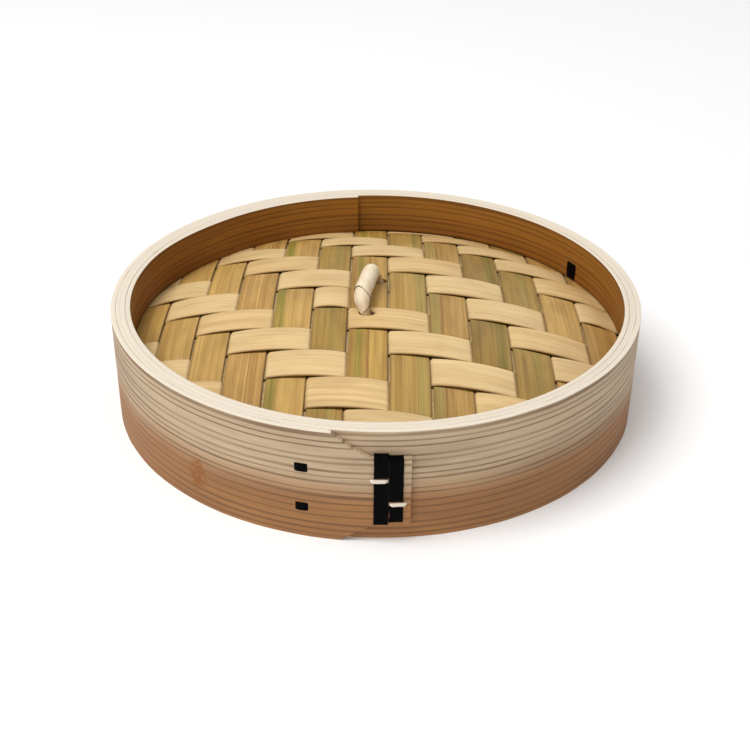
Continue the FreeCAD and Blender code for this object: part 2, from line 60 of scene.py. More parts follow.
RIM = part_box("outer_hoop")[1].z
RING_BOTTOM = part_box("retaining_ring")[0].z
OUTER_RADIUS = 90 * MM
BOARD, LAP_GROWTH = 1.7 * MM, 1.8 * MM
BOARD_START, TONGUE_END = 252.0, 276.6
SOCKET_RADIUS, SOCKET_DEPTH = 86.3 * MM, 8 * MM
HOOP_BORE = 85.7 * MM
RING_RADIUS, RING_WALL = 85.65 * MM, 1.6 * MM
RING_SEAM, RING_LAP, RING_RAMP, RAMP_DELAY = 95.7, 34.0, 30.0, 6
RECESS_RADIUS = RING_RADIUS - RING_WALL
PANEL_RADIUS = 85.3 * MM
PANEL_EDGE, DOME_RISE = 21.25 * MM, 12.5 * MM
# Each cut on the tongue: distances from its tip, and how much of the board is gone there.
UPPER_CUT = ((11.8 * MM, 8.2 * MM), (17.3 * MM, 5.2 * MM), (22.6 * MM, 0.9 * MM), (24 * MM, 0))
LOWER_CUT = ((10.8 * MM, 6.0 * MM), (14.9 * MM, 4.0 * MM), (20.9 * MM, 0))
BARK, BARK_WIDTH = 0.5 * MM, 4.3 * MM
BRIDGE = 1.15 * MM
WEFT_SLOPE = 0.09
STRIP, STRIP_GAP = 0.7 * MM, 0.65 * MM
STRIP_CORNER, STRIP_CROWN = 0.28 * MM, 0.12 * MM
# A strip on top lies this far above the middle of the weave, and changes sides along a ramp.
LAYER, RAMP = 0.5 * MM, 1.4 * MM
RIB_AZIMUTH = 34
HANDLE_AZIMUTH, HANDLE_LEAN = 80.0, 21.0
HANDLE_HALF, HANDLE_HEIGHT, HANDLE_CORNER = 12.5 * MM, 7.1 * MM, 5.6 * MM
CANE = 1.6 * MM
SLOT_HALVES = (2.0 * MM, 2.9 * MM)

# The edges of the weave's strips: warps by x, and wefts by the y where they cross x = 0.
WARP_EDGES = [
    x * MM for x in (-84.6, -74, -61.3, -49.1, -35.5, -22, -9.8, 3.8, 17.4, 31, 44.4, 57.6, 71, 84)
]
WEFT_EDGES = [
    y * MM for y in (-90, -76, -62, -48.1, -34.3, -21, -7.6, 7.4, 23.2, 39.2, 53.2, 66, 80, 92)
]
WEAVE_REACH = 84.4 * MM

# Each lashing: azimuth, top, bottom, height of its bridge, and where the bridge starts and ends.
LASHINGS = {
    "left": (271.05, 30.4 * MM, 6.5 * MM, 22.2 * MM, -3.2 * MM, 1.9 * MM),
    "right": (273.8, 29.7 * MM, 7.4 * MM, 13.9 * MM, -1.9 * MM, 3.2 * MM),
}
STITCH_AZIMUTH = 256.2
STITCH_HEIGHTS = {"upper": 24.85 * MM, "lower": 10.9 * MM}
RING_STITCHES = {"right": 29.5, "left": 209.5}


def srgb(red, green, blue):
    """A colour given as 0 to 255 on the usual screen scale."""
    shares = [n / 255 for n in (red, green, blue)]
    return tuple(n / 12.92 if n < 0.04045 else ((n + 0.055) / 1.055) ** 2.4 for n in shares) + (1,)


# ---- materials: every coordinate is metres along the grain, across it, and a depth or seed ----


class Look:
    """A material's node graph. Each call adds a node and returns its output socket."""

    def __init__(self, name, roughness, specular=0.35):
        self.material = bpy.data.materials.new(name)
        self.material.use_nodes = True
        self.tree = self.material.node_tree
        self.shader = self.tree.nodes["Principled BSDF"]
        self.shader.inputs["Specular IOR Level"].default_value = specular
        self.roughness = roughness

    def add(self, kind, output=0, settings=None, **inputs):
        """Inputs are sockets or constants, by name, or by number after an underscore."""
        node = self.tree.nodes.new(kind)
        for key, value in (settings or {}).items():
            setattr(node, key, value)
        for key, value in inputs.items():
            index = int(key[1:]) if key[0] == "_" and key[1:].isdigit() else key.replace("_", " ")
            if isinstance(value, bpy.types.NodeSocket):
                self.tree.links.new(value, node.inputs[index])
            else:
                node.inputs[index].default_value = value
        return node.outputs[output]

    def grain(self):
        return self.add("ShaderNodeAttribute", 1, {"attribute_name": "grain"})

    def along_object(self, turned=0.0):
        """Object coordinates turned about Z, so that their X runs along a straight strip."""
        place = self.add("ShaderNodeTexCoord", 3)
        settings = {"rotation_type": "Z_AXIS"}
        angle = math.radians(turned)
        return self.add("ShaderNodeVectorRotate", 0, settings, Vector=place, Angle=angle)

    def round_object(self):
        """Object coordinates wound round Z, like the grain of a bent board."""
        x, y, z = self.split(self.add("ShaderNodeTexCoord", 3))
        arc = self.math("MULTIPLY", self.math("ARCTAN2", y, x), OUTER_RADIUS)
        squares = self.math("ADD", self.math("MULTIPLY", x, x), self.math("MULTIPLY", y, y))
        radius = self.math("SQRT", squares)
        return self.join(arc, z, radius)

    def edge(self):
        return self.add("ShaderNodeAttribute", 2, {"attribute_name": "edge"})

    def split(self, vector):
        return [self.add("ShaderNodeSeparateXYZ", n, Vector=vector) for n in range(3)]

    def join(self, x=0.0, y=0.0, z=0.0):
        return self.add("ShaderNodeCombineXYZ", X=x, Y=y, Z=z)

    def math(self, operation, a, b=0.0, c=0.0):
        return self.add("ShaderNodeMath", 0, {"operation": operation}, _0=a, _1=b, _2=c)

    def noise(self, vector, scales, detail):
        """Noise from 0 to 1, with its own scale along each axis."""
        scaled = self.add("ShaderNodeVectorMath", 0, {"operation": "MULTIPLY"}, _0=vector, _1=scales)
        return self.add("ShaderNodeTexNoise", 0, Vector=scaled, Scale=1.0, Detail=detail)

    def sway(self, vector, scales, detail, reach):
        """The same noise, from minus a reach to plus that reach."""
        return self.math("MULTIPLY_ADD", self.noise(vector, scales, detail), 2 * reach, -reach)

    def step(self, value, low, high, to_low=0.0, to_high=1.0):
        """An eased step between two levels."""
        settings = {"interpolation_type": "SMOOTHSTEP"}
        return self.add(
            "ShaderNodeMapRange", 0, settings, _0=value, _1=low, _2=high, _3=to_low, _4=to_high
        )

    def mix(self, factor, a, b, blend="MIX"):
        settings = {"data_type": "RGBA", "blend_type": blend}
        return self.add("ShaderNodeMix", 2, settings, _0=factor, _6=a, _7=b)

    def finish(self, colour, height, depth, rough_from=None):
        """Links the colour, a bump of a real depth, and a roughness that varies a little."""
        self.tree.links.new(colour, self.shader.inputs["Base Color"])
        bumped = self.add("ShaderNodeBump", Height=height, Strength=1.0, Distance=depth)
        self.tree.links.new(bumped, self.shader.inputs["Normal"])
        rough = self.step(rough_from or height, 0.2, 0.8, self.roughness - 0.08, self.roughness + 0.1)
        self.tree.links.new(rough, self.shader.inputs["Roughness"])
        return self.material


def board_look(
    name, pale, heart, line, edge_colour, border, spread, line_share, knot=None, carried=False
):
    """A bent board with growth lines along it, pale above a wavy border and darker below.
    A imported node, which is carried over, has no grain of its own."""
    line_spacing, line_sway, line_shift = 2.4 * MM, 1.3 * MM, 3.2 * MM
    border_sway, border_shift, bump = 4.5 * MM, 4 * MM, 0.09 * MM
    look = Look(name, 0.62)
    grain = look.round_object() if carried else look.grain()
    arc, height, _ = look.split(grain)
    sway = look.sway(grain, (9, 60, 9), 2, line_sway)
    uneven = look.noise(look.join(y=height), (1, 260, 1), 1)
    level = look.math("ADD", look.math("ADD", height, sway), look.math("MULTIPLY", uneven, line_shift))
    wave = look.math("SINE", look.math("MULTIPLY", level, 2 * math.pi / line_spacing))
    strength = look.step(look.noise(grain, (22, 160, 9), 2), 0.3, 0.62, 0.5, 1)
    lines = look.math("MULTIPLY", look.step(wave, 0.3, 0.95), strength)
    fibre = look.noise(grain, (70, 5200, 70), 4)
    cloud = look.noise(grain, (14, 90, 30), 3)
    blend = look.math("ADD", height, look.sway(look.join(x=arc), (16, 1, 1), 2, border_sway))
    blend = look.math("ADD", blend, look.math("MULTIPLY", cloud, border_shift))
    upper = look.step(blend, border - spread, border + spread)
    colour = look.mix(upper, heart, pale)
    colour = look.mix(look.step(cloud, 0.35, 0.7, 0, 0.3), colour, line)
    colour = look.mix(look.math("MULTIPLY", lines, line_share), colour, line)
    colour = look.mix(look.step(fibre, 0.3, 0.75, 0.26, 0), colour, line, "MULTIPLY")
    if knot:
        colour = knot_stain(look, colour, grain, knot)
    ends = look.math("MULTIPLY", look.step(look.edge(), 0.35, 0.8), 0.94)
    seams = look.noise(grain, (30, 300, 5200), 3)
    edge_tone = look.mix(look.step(seams, 0.35, 0.7, 0.07, 0), edge_colour, line)
    colour = look.mix(ends, colour, edge_tone)
    relief = look.math("MULTIPLY", look.math("SUBTRACT", fibre, lines), 0.5)
    return look.finish(colour, look.math("ADD", relief, 0.5), bump, fibre)


def knot_stain(look, colour, grain, centre):
    """Short amber resin marks round a small knot."""
    away = look.add("ShaderNodeVectorMath", 0, {"operation": "SUBTRACT"}, _0=grain, _1=centre)
    x, y, _ = look.split(away)
    x = look.math("ABSOLUTE", look.math("ADD", x, look.sway(grain, (260, 420, 1), 3, 2.5 * MM)))
    reach = look.math("MULTIPLY_ADD", x, 2.0, look.math("ABSOLUTE", y))
    patches = look.step(look.noise(grain, (420, 700, 1), 3), 0.4, 0.52)
    stain = look.math("MULTIPLY", look.step(reach, 5 * MM, 10 * MM, 0.95, 0), patches)
    return look.mix(stain, colour, srgb(138, 82, 26))


def bamboo_look(name, body, streak, bands=(), dark=(96, 66, 30), gloss=0.5, turned=None):
    """Split bamboo: fibres along the strip, streaks, and bands of green or darker skin.
    Each band is its centre and half width across the strip, its colour and its strength.
    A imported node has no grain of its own: turned is the angle that brings its strips onto X."""
    look = Look(name, gloss, 0.4)
    grain = look.grain() if turned is None else look.along_object(turned)
    across = look.split(grain)[1]
    fibre = look.noise(grain, (42, 4200, 40), 4)
    streaks = look.noise(grain, (7, 620, 40), 3)
    cloud = look.noise(grain, (55, 130, 40), 2)
    colour = look.mix(look.step(streaks, 0.36, 0.66), srgb(*body), srgb(*streak))
    placed = look.math("ADD", across, look.sway(grain, (38, 1, 40), 2, 0.8 * MM))
    for middle, half, tone, share in bands:
        off = look.math("ABSOLUTE", look.math("SUBTRACT", placed, middle * MM))
        band = look.step(off, half * 0.3 * MM, half * 1.4 * MM, share, 0)
        broken = look.step(look.noise(grain, (30, 900, 40), 3), 0.28, 0.55, 0.45, 1)
        colour = look.mix(look.math("MULTIPLY", band, broken), colour, srgb(*tone))
    colour = look.mix(look.step(cloud, 0.4, 0.72, 0, 0.2), colour, srgb(*dark), "MULTIPLY")
    colour = look.mix(look.step(fibre, 0.3, 0.62, 0.3, 0), colour, srgb(*dark), "MULTIPLY")
    thin = look.noise(grain, (5, 1500, 40), 2)
    colour = look.mix(look.step(thin, 0.66, 0.74, 0, 0.55), colour, srgb(*dark))
    # Painted shade: a strip's long edges darken towards the dark colour, where it meets its neighbours
    # in the gaps.
    colour = look.mix(look.step(look.edge(), 0.9, 1.0, 0, 0.45), colour, srgb(*dark))
    relief = look.math("ADD", look.math("MULTIPLY", fibre, 0.5), look.math("MULTIPLY", streaks, 0.5))
    return look.finish(colour, relief, 0.11 * MM, streaks)


def leaf_look():
    """Dry brown leaf with fine veins."""
    look = Look("dry_leaf", 0.7)
    place = look.along_object()
    veins = look.noise(place, (900, 30, 200), 4)
    cloud = look.noise(place, (60, 60, 60), 3)
    colour = look.mix(look.step(veins, 0.35, 0.65), srgb(142, 112, 62), srgb(176, 146, 92))
    colour = look.mix(look.step(cloud, 0.4, 0.7, 0, 0.5), colour, srgb(108, 84, 44))
    return look.finish(colour, veins, 0.12 * MM, cloud)


def bark_look():
    """Black cherry bark: smooth and dull, with short level pores."""
    look = Look("black_bark", 0.6, 0.04)
    grain = look.grain()
    pores = look.noise(grain, (1900, 420, 40), 3)
    cloud = look.noise(grain, (260, 200, 40), 2)
    colour = look.mix(look.step(pores, 0.55, 0.72), srgb(2, 2, 2), srgb(12, 7, 7))
    worn = look.math("MULTIPLY", look.step(look.edge(), 0.85, 1), look.step(cloud, 0.6, 0.75, 0, 0.6))
    colour = look.mix(worn, colour, srgb(150, 96, 88))
    return look.finish(colour, pores, 0.08 * MM, cloud)


def cane_look(name, pale, shade):
    """Peeled cane with fine fibres and a few brown specks."""
    look = Look(name, 0.55, 0.4)
    grain = look.grain()
    fibre = look.noise(grain, (120, 3000, 3000), 3)
    cloud = look.noise(grain, (160, 400, 400), 3)
    specks = look.noise(grain, (700, 1300, 1300), 2)
    colour = look.mix(look.step(cloud, 0.35, 0.7), srgb(*pale), srgb(*shade))
    colour = look.mix(look.step(fibre, 0.28, 0.5, 0.35, 0), colour, srgb(176, 140, 104))
    colour = look.mix(look.step(specks, 0.68, 0.76, 0, 0.7), colour, srgb(120, 84, 58))
    # Darker where the edge share is high: the real cut ends of the wraps, and painted shade in the
    # grooves between the knot's turns.
    colour = look.mix(look.step(look.edge(), 0.4, 1, 0, 0.85), colour, srgb(92, 62, 40))
    return look.finish(colour, fibre, 0.1 * MM, cloud)


# ---- mesh helpers ----


def piece(name, points, faces, grain, edge, look, body, replaces=()):
    """A closed mesh with its grain coordinates, on a body, standing for some CAD nodes.
    Points that coincide are joined, and edges sharper than an angle stay hard."""
    join_within, hard_angle = 0.0002 * MM, math.radians(42)
    mesh = bpy.data.meshes.new(name)
    mesh.from_pydata([tuple(p) for p in points], [], faces)
    mesh.attributes.new("grain", "FLOAT_VECTOR", "POINT").data.foreach_set("vector", np.ravel(grain))
    mesh.attributes.new("edge", "FLOAT", "POINT").data.foreach_set("value", np.ravel(edge))
    made = bmesh.new()
    made.from_mesh(mesh)
    bmesh.ops.remove_doubles(made, verts=made.verts, dist=join_within)
    bmesh.ops.recalc_face_normals(made, faces=made.faces)
    made.to_mesh(mesh)
    made.free()
    mesh.shade_smooth()
    mesh.set_sharp_from_angle(angle=hard_angle)
    mesh.materials.append(look)
    thing = bpy.data.objects.new(name, mesh)
    bpy.context.scene.collection.objects.link(thing)
    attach(thing, body)
    if replaces:
        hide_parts(*replaces)
    return thing


def loft_faces(rings, around, closed):
    """Quads between closed rings of points, and an end face at each open end."""
    faces = []
    for n in range(rings if closed else rings - 1):
        here, there = n * around, (n + 1) % rings * around
        for m in range(around):
            right = (m + 1) % around
            faces.append((here + m, here + right, there + right, there + m))
    if not closed:
        faces.append(tuple(range(around)))
        faces.append(tuple((rings - 1) * around + m for m in range(around)))
    return faces


def direction(degrees):
    """The level direction at an azimuth."""
    return Vector((math.cos(math.radians(degrees)), math.sin(math.radians(degrees)), 0))


def rounded_section(width, height, radius, side_steps, end_steps, corner_steps=3):
    """Points round a rectangle centred on the origin with rounded corners. A side of three steps
    or more has its first and last points close to the corners."""
    close = 0.3 * MM
    half_width, half_height = width / 2 - radius, height / 2 - radius
    spans = ((-2 * half_width, 0), (0, -2 * half_height), (2 * half_width, 0), (0, 2 * half_height))
    points = []
    for quarter, (sx, sy) in enumerate(((1, 1), (-1, 1), (-1, -1), (1, -1))):
        for n in range(corner_steps + 1):
            angle = math.pi / 2 * (quarter + n / corner_steps)
            x, y = sx * half_width, sy * half_height
            points.append((x + radius * math.cos(angle), y + radius * math.sin(angle)))
        steps = end_steps if quarter % 2 == 0 else side_steps
        start, span = points[-1], spans[quarter]
        length = max(abs(span[0]), abs(span[1]))
        near = min(close / length, 0.2) if length and steps > 2 else 0.5
        for share in [near] + [n / steps for n in range(2, steps - 1)] + [1 - near]:
            points.append((start[0] + span[0] * share, start[1] + span[1] * share))
    return np.array(points)


def smooth(share):
    """An eased share, held between 0 and 1."""
    share = np.clip(share, 0, 1)
    return share * share * (3 - 2 * share)


def wander(x, y, size, seed):
    """Slow unevenness between -1 and 1 along two coordinates."""
    return noise.noise(Vector((x / size, y / size, seed)))


# ---- the boards ----


def hoop_outside(azimuth):
    """Outside of the outer board, which winds outwards over one turn and a bit."""
    return OUTER_RADIUS + LAP_GROWTH * ((azimuth - TONGUE_END) / 360 - 0.5)


def cut_height(from_tip, outline):
    """How much of the board is cut away at a distance from the tongue's tip."""
    lengths, heights = zip(*outline)
    return float(np.interp(from_tip, lengths, heights))


def board(name, start, end, step, outside, wall, low, high, uneven, look, replaces):
    """A board bent round the Z axis, in steps of some degrees. Its outside radius, wall and two
    edge heights are functions of the azimuth. An edge shows its pale end grain where it is uncut."""
    corner, wave_length = 0.15 * MM, 12 * MM
    cut_fade, band_start, band_fade = 0.6 * MM, 0.3 * MM, 0.28 * MM
    count = round((end - start) / step)
    points, grain, edge = [], [], []
    for n in range(count + 1):
        azimuth = start + (end - start) * n / count
        arc = math.radians(azimuth) * OUTER_RADIUS
        bottom, top, thick = low(azimuth), high(azimuth), wall(azimuth)
        section = rounded_section(thick, top - bottom, min(corner, thick * 0.4), 18, 2)
        across = direction(azimuth)
        for depth, up in section:
            height = (top + bottom) / 2 + up
            radius = outside(azimuth) - thick / 2 + depth
            bent = Vector((across.x * OUTER_RADIUS, across.y * OUTER_RADIUS, height))
            radius += uneven * noise.noise(bent / wave_length)
            points.append((across.x * radius, across.y * radius, height))
            grain.append((arc, height, radius))
            uncut = 1 - smooth((bottom if up < 0 else RIM - top) / cut_fade)
            edge.append(uncut * smooth((abs(up) - (top - bottom) / 2 + band_start) / band_fade))
    faces = loft_faces(count + 1, len(section), False)
    return piece(name, points, faces, grain, edge, look, "lid", replaces)


def make_outer_board(look):
    """Its last turn laps over its first, and ends in the tongue."""
    tip = TONGUE_END + 360

    def from_tip(azimuth):
        return math.radians(tip - azimuth) * (OUTER_RADIUS + LAP_GROWTH / 2)

    def high(azimuth):
        return RIM - cut_height(from_tip(azimuth), UPPER_CUT)

    def low(azimuth):
        return cut_height(from_tip(azimuth), LOWER_CUT)

    return board(
        "cedar_outer_board", BOARD_START, tip, 0.6, hoop_outside, lambda a: BOARD, low, high, 0.12 * MM,
        look, ["outer_hoop"],
    )


def make_inner_board(look):
    """It fills the room inside the outer board and steps where that board starts. A fine groove
    in its rim marks the seam between its two layers."""
    whole_turn = 359.998  # a hair less, so that the board's two ends stay apart
    other_grain = 1  # metres further along the wood than the outer board
    gap, bevel, round_off = 0.01 * MM, 0.13 * MM, 0.04 * MM
    groove_half, groove_depth = 0.1 * MM, 0.05 * MM
    count, up_steps = 480, 16
    points, grain, edge = [], [], []
    for n in range(count + 1):
        azimuth = BOARD_START + whole_turn * n / count
        arc = math.radians(azimuth) * OUTER_RADIUS + other_grain
        outer = hoop_outside(azimuth) - BOARD - gap
        across = direction(azimuth)
        outline = [(SOCKET_RADIUS, bevel, 1), (SOCKET_RADIUS + bevel, 0, 1), (outer - bevel, 0, 1)]
        outline += [(outer, bevel + (RIM - 2 * bevel) * k / up_steps, 0) for k in range(up_steps + 1)]
        seam = (outer + HOOP_BORE) / 2
        outline += [(outer - round_off, RIM - round_off, 1), (outer - bevel, RIM, 1)]
        outline += [(seam + groove_half, RIM, 1), (seam, RIM - groove_depth, 0.75)]
        outline += [(seam - groove_half, RIM, 1), (HOOP_BORE + bevel, RIM, 1)]
        outline += [(HOOP_BORE + round_off, RIM - round_off, 1)]
        outline += [(HOOP_BORE, RIM - bevel, 0), (HOOP_BORE, RING_BOTTOM, 0)]
        outline += [(HOOP_BORE, SOCKET_DEPTH, 0), (SOCKET_RADIUS, SOCKET_DEPTH, 0)]
        for radius, height, rim_share in outline:
            points.append((across.x * radius, across.y * radius, height))
            grain.append((arc, height, radius))
            edge.append(rim_share)
    faces = loft_faces(count + 1, len(outline), False)
    return piece(
        "cedar_inner_board", points, faces, grain, edge, look, "lid", ["inner_hoop"]
    )


def make_ring_board(look):
    """The retaining ring: a board that laps inside itself, so its end shows at the back.
    Its hidden end is shaved thin, to lie under the inner end where that eases outwards."""
    lap_gap, shaved_gap, thinnest, rim_wear = 0.1 * MM, 0.06 * MM, 0.08 * MM, 0.1 * MM
    inward = RING_WALL + lap_gap
    shaved = RING_SEAM + 360 + RING_LAP

    def outside(azimuth):
        share = smooth((azimuth - RING_SEAM - RING_LAP - RAMP_DELAY) / RING_RAMP)
        return RING_RADIUS - inward * (1 - share)

    def wall(azimuth):
        if azimuth < shaved:
            return RING_WALL
        return max(RING_RADIUS - outside(azimuth - 360) - shaved_gap, thinnest)

    def high(azimuth):
        return RIM - rim_wear * abs(wander(azimuth, 0, 40, 5))

    return board(
        "cedar_retaining_ring", RING_SEAM, shaved + RING_RAMP, 1.0, outside, wall,
        lambda a: RING_BOTTOM, high, 0.0, look, ["retaining_ring"],
    )


# ---- the woven panel ----


def dome(x, y):
    """The height of the middle of the upper weave."""
    return PANEL_EDGE + DOME_RISE * (1 - (x * x + y * y) / RECESS_RADIUS**2)


def groups(edges, over):
    """Runs of cells where a strip stays on one side: (start, end, on top or not)."""
    runs = []
    for n, top in enumerate(over):
        if runs and runs[-1][2] == top:
            runs[-1] = (runs[-1][0], edges[n + 1], top)
        else:
            runs.append((edges[n], edges[n + 1], top))
    return runs


def lift_along(t, runs, offset, bulge):
    """A strip's height at the places t: level over each run, steep between, bowed on top."""
    level = np.full_like(t, offset if runs[0][2] else -offset)
    for before, after in zip(runs, runs[1:]):
        change = offset * ((1 if after[2] else -1) - (1 if before[2] else -1))
        level += change * smooth((t - before[1]) / RAMP + 0.5)
    for start, end, top in runs:
        if top:
            share = np.clip((t - start) / (end - start), 0, 1)
            level += bulge * (1 - np.abs(2 * share - 1) ** 2.4)
    return level


def chord(base, slope, v):
    """Where a line y = base + v + slope * x leaves the panel's circle, as two x."""
    y0 = base + v
    a, b, c = 1 + slope * slope, 2 * y0 * slope, y0 * y0 - PANEL_RADIUS**2
    root = math.sqrt(max(b * b - 4 * a * c, 0))
    return (-b - root) / (2 * a), (-b + root) / (2 * a)


def strip(node, number, kind, low, high, runs, bulge, look):
    """One strip between two edge lines. A weft falls to the right; a warp runs along Y. It is
    sampled evenly, and finely where it changes sides. Its bow fades out near the hoop."""
    step, fine_reach, fine_count, hoop_fade, slack = 2.2 * MM, 1.7, 11, 9 * MM, 1e-9
    centre, half = (low + high) / 2, (high - low) / 2 - STRIP_GAP / 2
    half *= 1 + random.uniform(-0.025, 0.015)
    section = rounded_section(2 * half, STRIP, STRIP_CORNER, 1, 8, 2)
    is_weft = kind == "weft"
    shift = 0 if is_weft else WEFT_SLOPE * centre
    samples = set(np.arange(-PANEL_RADIUS, PANEL_RADIUS, step))
    for run in runs[1:]:
        samples |= {run[0] - shift + d * MM for d in np.linspace(-fine_reach, fine_reach, fine_count)}
    samples = np.array(sorted(samples | {PANEL_RADIUS}))
    samples = samples[np.abs(samples) <= PANEL_RADIUS + slack]
    rows = []
    for v, w in section:
        side = v * (1 + 0.02 * wander(samples[0], v, 9 * MM, number))
        if is_weft:
            start, end = chord(centre, -WEFT_SLOPE, side)
            s = np.clip(samples, start, end)
            x, y, t = s, centre + side - WEFT_SLOPE * s, s
        else:
            reach = math.sqrt(max(PANEL_RADIUS**2 - (centre + side) ** 2, 0))
            s = np.clip(samples, -reach, reach)
            x, y, t = np.full_like(s, centre + side), s, s + WEFT_SLOPE * (centre + side)
        fade = smooth((PANEL_RADIUS - np.hypot(x, y)) / hoop_fade)
        z = dome(x, y) + lift_along(t, runs, LAYER, bulge)
        z -= bulge * (1 - fade) * lift_along(t, runs, 0, 1.0)
        crown = STRIP_CROWN * (1 - (v / half) ** 2)
        rows.append(np.stack([x, y, z + w + crown, s, np.full_like(s, v)], 1))
    grid = np.stack(rows, 1).reshape(-1, 5)
    grain = np.stack([grid[:, 3], grid[:, 4], np.full(len(grid), 0.37 * number)], 1)
    # The edge share runs from 0 on the strip's middle line to 1 at its sides, and sets the painted
    # shade along its edges.
    edge = np.abs(grid[:, 4]) / half
    faces = loft_faces(len(samples), len(section), False)
    name, slot = f"bamboo_{node}", f"{kind}_bamboo"
    return piece(name, grid[:, :3], faces, grain, edge, look, "lid", [node])


def weft_on_top(i, j):
    """The twill: i counts warps and j counts wefts from the left and the front. One crossing
    beside the handle is out of turn."""
    if (i, j) == (6, 6):
        return False
    return (i + j + 1) % 4 < 2


def make_upper_weave(warp_looks, weft_looks):
    """The warps bow less than the wefts. The looks of the wefts repeat."""
    warp_bulge, weft_bulge, first_weft = 0.5 * MM, 0.85 * MM, 20
    warp_count, weft_count = len(WARP_EDGES) - 1, len(WEFT_EDGES) - 1
    pieces = []
    for i in range(warp_count):
        runs = groups(WEFT_EDGES, [not weft_on_top(i, j) for j in range(weft_count)])
        low, high = WARP_EDGES[i], WARP_EDGES[i + 1]
        node = f"warp_strip_{i + 1:02d}"
        pieces.append(strip(node, i, "warp", low, high, runs, warp_bulge, warp_looks[i]))
    for j in range(weft_count):
        runs = groups(WARP_EDGES, [weft_on_top(i, j) for i in range(warp_count)])
        low, high = max(WEFT_EDGES[j], -WEAVE_REACH), min(WEFT_EDGES[j + 1], WEAVE_REACH)
        node = f"weft_strip_{j + 1:02d}"
        look = weft_looks[j % len(weft_looks)]
        pieces.append(strip(node, first_weft + j, "weft", low, high, runs, weft_bulge, look))
    return pieces


def cut_slots(pieces):
    """Cuts the holes that the handle's legs swing in out of the strips round its feet."""
    around, reach = 28, 6 * MM
    turned = Matrix.Rotation(math.radians(HANDLE_AZIMUTH), 3, "Z")
    for sign in (-1, 1):
        foot = HANDLE_PLACE @ Vector((sign * HANDLE_HALF, 0, 0))
        ring = []
        for n in range(around):
            angle = 2 * math.pi * n / around
            along, across = SLOT_HALVES[0] * math.cos(angle), SLOT_HALVES[1] * math.sin(angle)
            ring.append(turned @ Vector((along, across, 0)))
        points = [foot + v + Vector((0, 0, h)) for h in (-reach, reach) for v in ring]
        mesh = bpy.data.meshes.new("slot")
        mesh.from_pydata([tuple(v) for v in points], [], loft_faces(2, around, False))
        made = bmesh.new()
        made.from_mesh(mesh)
        bmesh.ops.recalc_face_normals(made, faces=made.faces)
        made.to_mesh(mesh)
        made.free()
        cutter = bpy.data.objects.new("slot", mesh)
        bpy.context.scene.collection.objects.link(cutter)
        for thing in pieces:
            modifier = thing.modifiers.new("slot", "BOOLEAN")
            modifier.object = cutter
            modifier.solver = "EXACT"
            evaluated = thing.evaluated_get(bpy.context.evaluated_depsgraph_get())
            cut = bpy.data.meshes.new_from_object(evaluated)
            thing.modifiers.clear()
            thing.data = cut
        bpy.data.objects.remove(cutter)


# ---- the handle, in its own frame: X along the feet, Z up, its axis through the origin ----

lean = Matrix.Rotation(math.radians(-HANDLE_LEAN), 4, "X")
turn = Matrix.Rotation(math.radians(HANDLE_AZIMUTH), 4, "Z")
HANDLE_PLACE = Matrix.Translation(frame["joints"][0]["pos_m"]) @ turn @ lean
LEG_TOP = HANDLE_HEIGHT - HANDLE_CORNER
LEG_BOTTOM, KNOT_HEIGHT = -6.4 * MM, -6.7 * MM
ARM_HALF = HANDLE_HALF - HANDLE_CORNER
LEG, BEND = LEG_TOP - LEG_BOTTOM, HANDLE_CORNER * math.pi / 2
LOOP = 2 * LEG + 2 * BEND + 2 * ARM_HALF


def handle_route(s):
    """Point and direction on the loop's centre line, s metres from the front leg's bottom."""
    mirrored = s > LOOP / 2
    u = LOOP - s if mirrored else s
    if u < LEG:
        x, z, angle = -HANDLE_HALF, LEG_BOTTOM + u, math.pi / 2
    elif u < LEG + BEND:
        angle = math.pi / 2 - (u - LEG) / HANDLE_CORNER
        x = -ARM_HALF - HANDLE_CORNER * math.sin(angle)
        z = LEG_TOP + HANDLE_CORNER * math.cos(angle)
    else:
        x, z, angle = -ARM_HALF + (u - LEG - BEND), HANDLE_HEIGHT, 0
    if mirrored:
        return (-x, z), (math.cos(angle), -math.sin(angle))
    return (x, z), (math.cos(angle), math.sin(angle))


def tube(name, start, end, radius_at, slants, look, replaces):
    """A round stem along the handle's route, with radius_at(s, angle). Its ends are oblique:
    slants are how far each end slants along the stem, and the angles where they reach furthest."""
    spacing, past, dark_end = 0.5 * MM, 3 * MM, 0.45 * MM
    around, count = 20, round((end - start) / spacing)
    start_slant, end_slant, start_phase, end_phase = slants
    points, grain, edge = [], [], []
    for s_wide in np.linspace(start - past, end + past, count):
        for m in range(around):
            angle = 2 * math.pi * m / around
            first = start + start_slant * math.cos(angle + start_phase)
            last = end + end_slant * math.cos(angle + end_phase)
            s = min(max(s_wide, first), last)
            (x, z), (along_x, along_z) = handle_route(s)
            radius = radius_at(s, angle)
            side, up = radius * math.sin(angle), radius * math.cos(angle)
            local = Vector((x - up * along_z, side, z + up * along_x))
            points.append(HANDLE_PLACE @ local)
            grain.append((s, side, up))
            edge.append(smooth(1 - min(s - first, last - s) / dark_end))
    faces = loft_faces(count, around, False)
    return piece(name, points, faces, grain, edge, look, "handle", [replaces])


